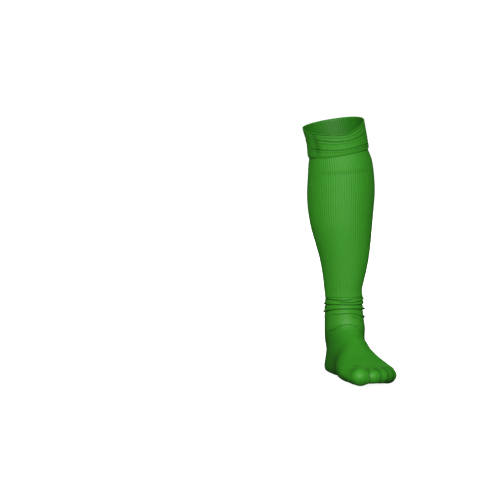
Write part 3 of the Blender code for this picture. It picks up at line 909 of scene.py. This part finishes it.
# %% [markdown]
# ## Nylon and elastane knit
#
# Football socks are knitted from dull nylon with a little elastane. Nylon has an index of refraction of
# about 1.53. Its yarn scatters light in all directions, so the knit is matte, with a faint broad shine
# where it faces the light. Loose fibres break that shine up, so the specular level is below its usual
# 0.5.
#
# The stitches are small V shapes: two slanting strands meet in each column. A sock has about 150
# columns round, and a rib is two of them. A real stitch is about 1 mm high. Here it is drawn 2.2 mm
# high, because a finer one would not show. Fibres stand out in tufts about a millimetre
# apart, each stitch takes the dye a little differently, and wider clouds of 17 mm lie over that.

# %% The knit's material
STITCH_HEIGHT = 0.0022
STRAND_SLANT = 1.6
STITCH_DEPTH = 0.0005
TUFTS_PER_METRE = 900.0
STITCHES_PER_METRE = 450.0
CLOUDS_PER_METRE = 60.0
TUFT_SHARE = 0.4
CLOUD_DYE, STITCH_DYE, DYE_MIDDLE = 0.22, 0.20, -0.16
NYLON = {"IOR": 1.53, "Roughness": 0.55, "Specular IOR Level": 0.38}
# depth is how far a knit's colour turns dark: painted shade plus uneven dye
Knit = namedtuple("Knit", "material depth dye relief bump")


def knit_material(name, colour, painted_shade_colour, columns, stitch_relief):
    """Stitches, uneven dye and painted shade in the hollows. columns: columns of stitches round the
    sock.
    """
    material = bpy.data.materials.new(name)
    material.use_nodes = True
    tree = material.node_tree
    shader = tree.nodes["Principled BSDF"]
    uv = add_node(tree, "UVMap", {"uv_map": "knit"})
    stitches = {"Scale": (columns, 1 / STITCH_HEIGHT, 1)}
    scaled = add_node(tree, "Mapping", stitches, {"Vector": uv})
    split = add_node(tree, "SeparateXYZ", links={"Vector": scaled})
    across, down = split.outputs["X"], split.outputs["Y"]
    strand = math_node(tree, "PINGPONG", across, 0.5)
    course = math_node(tree, "MULTIPLY_ADD", strand, STRAND_SLANT, down)
    stitch = math_node(tree, "PINGPONG", course, 0.5)
    where = add_node(tree, "TexCoord").outputs["Object"]
    tufts = {"Scale": TUFTS_PER_METRE, "Detail": 3.0}
    fuzz = add_node(tree, "TexNoise", tufts, {"Vector": where})
    relief = math_node(tree, "MULTIPLY_ADD", fuzz, TUFT_SHARE, stitch)
    # painted shade from the mesh: darker in valleys, creases and grooves, paler on the cuff's lip as a
    # painted highlight
    painted_shade = add_node(tree, "Attribute", {"attribute_name": "painted_shade"}).outputs["Fac"]
    clouds = {"Scale": CLOUDS_PER_METRE, "Detail": 4.0, "Roughness": 0.6}
    cloud = add_node(tree, "TexNoise", clouds, {"Vector": where})
    mottle = {"Scale": STITCHES_PER_METRE, "Detail": 2.0}
    heather = add_node(tree, "TexNoise", mottle, {"Vector": where})
    cloudy = math_node(tree, "MULTIPLY_ADD", cloud, CLOUD_DYE, DYE_MIDDLE)
    uneven = math_node(tree, "MULTIPLY_ADD", heather, STITCH_DYE, cloudy)
    # how far the colour turns to the painted shade colour: painted shade plus the uneven dye
    depth = math_node(tree, "ADD", painted_shade, uneven, clamp=True)
    greens = {"data_type": "RGBA", 6: linear(colour), 7: linear(painted_shade_colour)}
    dye = add_node(tree, "Mix", greens, {0: depth})
    height = {"Strength": stitch_relief, "Distance": STITCH_DEPTH}
    bump = add_node(tree, "Bump", height, {"Height": relief})
    tree.links.new(dye.outputs[2], shader.inputs["Base Color"])
    tree.links.new(bump.outputs["Normal"], shader.inputs["Normal"])
    set_up(shader, NYLON)
    return Knit(material, depth, dye, relief, bump)


print(f"the stitches are drawn {STITCH_HEIGHT * 1000:.1f} mm high")

# %% Knits of the cuff, the leg and the ankle
RIB_COLUMNS = 2 * rib_count
PLAIN_COLUMNS = 150
RIB_RELIEF, PLAIN_RELIEF = 0.35, 0.25
# each knit's second colour is its painted shade, the darker green of its valleys and creases
cuff_knit = knit_material("ribbed_nylon_cuff", "#35941c", "#165f08", RIB_COLUMNS, RIB_RELIEF)
leg_knit = knit_material("ribbed_nylon_leg", LEG_GREEN, "#186509", RIB_COLUMNS, RIB_RELIEF)
ankle_knit = knit_material(
    "plain_stretched_nylon", "#36941c", "#125806", PLAIN_COLUMNS, PLAIN_RELIEF
)
for piece, knit in ((cuff, cuff_knit), (leg, leg_knit), (ankle, ankle_knit)):
    piece.data.materials.append(knit.material)
    print(f"{piece.name} is made of {knit.material.name}")

# %% [markdown]
# ## The foot's mesh knit
#
# Over the instep the foot is a mesh knit, which lets air through: rows of small open diamonds, each set
# half a step beside the last. The product of two cosines gives that pattern: it is high where both are
# high and where both are low, so every other row is shifted. The diamonds are drawn 4.4 mm wide and
# 6.3 mm high. In a diamond the yarn lies lower, and the colour there is painted darker, as shade.

# %% Mesh on the instep
DIAMOND_WIDTH = 0.0044
DIAMOND_HEIGHT = 0.0063
DIAMOND_SHADE = 0.45
DIAMOND_RELIEF = -1.2
FOOT_ACROSS = 0.080  # the instep's mean width and height
diamonds_round = round(math.pi * FOOT_ACROSS / DIAMOND_WIDTH)
# the foot's second colour is its painted shade, the darker green of its creases, grooves and diamonds
foot_knit = knit_material("mesh_nylon_foot", "#33941a", "#105406", PLAIN_COLUMNS, PLAIN_RELIEF)
tree = foot_knit.material.node_tree
uv = add_node(tree, "UVMap", {"uv_map": "knit"})
lattice = (2 * math.pi * diamonds_round, 2 * math.pi / DIAMOND_HEIGHT, 1)
scaled = add_node(tree, "Mapping", {"Scale": lattice}, {"Vector": uv})
split = add_node(tree, "SeparateXYZ", links={"Vector": scaled})
around = math_node(tree, "COSINE", split.outputs["X"])
along = math_node(tree, "COSINE", split.outputs["Y"])
diamonds = math_node(tree, "MULTIPLY", around, along, clamp=True)
zone = add_node(tree, "Attribute", {"attribute_name": "mesh_zone"}).outputs["Fac"]
holes = math_node(tree, "MULTIPLY", diamonds, zone)
# painted shade: the diamonds darken the colour, on top of the painted shade and the uneven dye
dye_and_diamond_shade = math_node(tree, "MULTIPLY_ADD", holes, DIAMOND_SHADE, foot_knit.depth, clamp=True)
lower = math_node(tree, "MULTIPLY_ADD", holes, DIAMOND_RELIEF, foot_knit.relief)
tree.links.new(dye_and_diamond_shade.outputs[0], foot_knit.dye.inputs[0])
tree.links.new(lower.outputs[0], foot_knit.bump.inputs["Height"])
foot.data.materials.append(foot_knit.material)
print("diamonds round the foot:", diamonds_round)

# %% [markdown]
# ## Joining the frame
#
# Each piece rides on the frame's one body and stands for the plain solid of the same place. Each is
# printed with the size that its knit has when the sock lies flat and cut open.

# %% Pieces and the frame
Cloth = namedtuple("Cloth", "piece node slot flat_width flat_length")
CLOTHS = [
    Cloth(cuff, "cuff", "cuff_knit", 0.25, 0.060),
    Cloth(leg, "leg", "ribbed_knit", 0.24, 0.270),
    Cloth(ankle, "ankle", "ankle_knit", 0.21, 0.080),
    Cloth(foot, "foot", "foot_knit", 0.21, 0.230),
]
for cloth in CLOTHS:
    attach(cloth.piece, "root")
    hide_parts(cloth.node)
    flat_size = f"{cloth.flat_width * 1000:.0f} x {cloth.flat_length * 1000:.0f} mm"
    print(f"{cloth.node}: {flat_size} before it was stretched")

# %% [markdown]
# ## The paper cove
#
# The sock stands against white. A round cove does that: a paper floor that curves up into a wall, so
# that no horizon shows. The paper glows by itself, as on a light table, and its glow is kept off the
# sock, so the sock's sides stay dark.

# %% A floor that curves up into a wall
COVE_RADIUS = 9.0
COVE_BEND = 3.0
COVE_WALL = 6.0
FLOOR_GAP = 0.0005
floor_level = lowest - FLOOR_GAP
bend = np.radians(np.arange(0, 91, 10))
radii = np.append(COVE_RADIUS + COVE_BEND * np.sin(bend), COVE_RADIUS + COVE_BEND)
heights = floor_level + np.append(COVE_BEND * (1 - np.cos(bend)), COVE_BEND + COVE_WALL)
round_cove = np.radians(np.arange(0, 360, 5))
sides = len(round_cove)
points = [(r * math.cos(a), r * math.sin(a), z) for r, z in zip(radii, heights) for a in round_cove]
corner_row, corner_column = grid_faces(len(radii), sides, closed=False)
faces = [list(range(sides))] + (corner_row * sides + corner_column % sides).tolist()
cove = mesh_object("paper_cove", points, faces)
print(f"cove: {2 * (COVE_RADIUS + COVE_BEND):.0f} m across, floor at {floor_level * 1000:.1f} mm")

# %% White paper that glows
GLOW = {"Emission Color": linear("#ffffff"), "Emission Strength": 0.93}
paper = bpy.data.materials.new("glowing_white_paper")
paper.use_nodes = True
paper_shader = paper.node_tree.nodes["Principled BSDF"]
set_up(paper_shader, {"Base Color": linear("#f4f4f4"), "Roughness": 0.95, **GLOW})
cove.data.materials.append(paper)
cove.visible_diffuse = False
cove.visible_glossy = False
cove.visible_shadow = False
print("the cove is part of the stage, and lights nothing but itself")

# %% [markdown]
# ## Light
#
# The key light is a large, slightly warm soft box near the camera, a little higher, so the middle of
# the leg is bright and both of its edges fall off. Another soft box lights the sock's back. The white
# surround adds a little light from all sides. Seen at a low angle the knit would mirror the surround
# and the back box as a grey veil, so neither of them is reflected.

# %% Surround and lights
world = bpy.data.worlds.new("surround")
world.use_nodes = True
set_up(world.node_tree.nodes["Background"], {"Color": linear("#ffffff"), "Strength": 0.20})
bpy.context.scene.world = world
world.cycles_visibility.glossy = False
bpy.context.scene.view_settings.view_transform = "Standard"

look_at = Vector((0.0, -0.03, -0.22))
BOX_DISTANCE = 3.0
BOX_SIZE = 1.3


def soft_box(name, azimuth, elevation, power, reflected):
    """A square area light. Azimuth 0 is in front of the sock, 90 on the little toe's side."""
    data = bpy.data.lights.new(name, "AREA")
    data.energy = power
    data.size = BOX_SIZE
    data.color = linear("#fffcf5")[:3]
    light = bpy.data.objects.new(name, data)
    light.visible_glossy = reflected
    a, e = math.radians(azimuth), math.radians(elevation)
    way = Vector((math.sin(a) * math.cos(e), -math.cos(a) * math.cos(e), math.sin(e)))
    light.location = look_at + BOX_DISTANCE * way
    light.rotation_euler = (look_at - light.location).to_track_quat("-Z", "Y").to_euler()
    bpy.context.scene.collection.objects.link(light)
    print(f"{name}: {power:.0f} W, {azimuth} degrees round and {elevation} up")


soft_box("key_box", azimuth=-19, elevation=25, power=97.0, reflected=True)
soft_box("back_box", azimuth=164, elevation=22, power=70.0, reflected=False)

# %% [markdown]
# ## The camera
#
# The camera stands 6 m away, so the sock is seen with hardly any perspective, from 18 degrees towards
# the big toe's side and a little above. The sock doesn't stand in the middle of the picture. The middle
# of its ankle falls on one known pixel, and a millimetre on the sock on a known share of a pixel. From
# these two the camera's place and lens follow.

# %% The camera
PHOTO_SIZE = 500
ANKLE_PIXEL = (343.5, 297.5)
METRES_PER_PIXEL = 0.001709
CAMERA_DISTANCE = 6.0
SIGHT_AZIMUTH = 18.03
SIGHT_DOWN = 5.6
SENSOR = 36.0

off_axis = (ANKLE_PIXEL[0] - PHOTO_SIZE / 2) * METRES_PER_PIXEL
above_axis = (PHOTO_SIZE / 2 - ANKLE_PIXEL[1]) * METRES_PER_PIXEL
azimuth = math.radians(SIGHT_AZIMUTH) - math.atan(off_axis / CAMERA_DISTANCE)
down = math.radians(SIGHT_DOWN)
forward = (math.cos(down) * math.sin(azimuth), math.cos(down) * math.cos(azimuth), -math.sin(down))
ahead = Vector(forward)
right = Vector((math.cos(azimuth), -math.sin(azimuth), 0))
up = right.cross(ahead)
ankle_middle = Vector(FRAME_SHIFT) + Vector((0, 0, ankle_height))
place = ankle_middle - CAMERA_DISTANCE * ahead - off_axis * right - above_axis * up
camera = bpy.data.objects.new("camera", bpy.data.cameras.new("camera"))
axes = [(right[i], up[i], -ahead[i], place[i]) for i in range(3)]
camera.matrix_world = Matrix(axes + [(0, 0, 0, 1)])
camera.data.sensor_width = SENSOR
camera.data.lens = SENSOR / PHOTO_SIZE * CAMERA_DISTANCE / METRES_PER_PIXEL
camera.data.clip_end = 200.0
bpy.context.scene.collection.objects.link(camera)
bpy.context.scene.camera = camera
print(f"lens {camera.data.lens:.0f} mm at {CAMERA_DISTANCE} m")

# %% [markdown]
# ## Bringing the scene up to date
#
# The view layer is updated once more.

# %% Finish
bpy.context.view_layer.update()
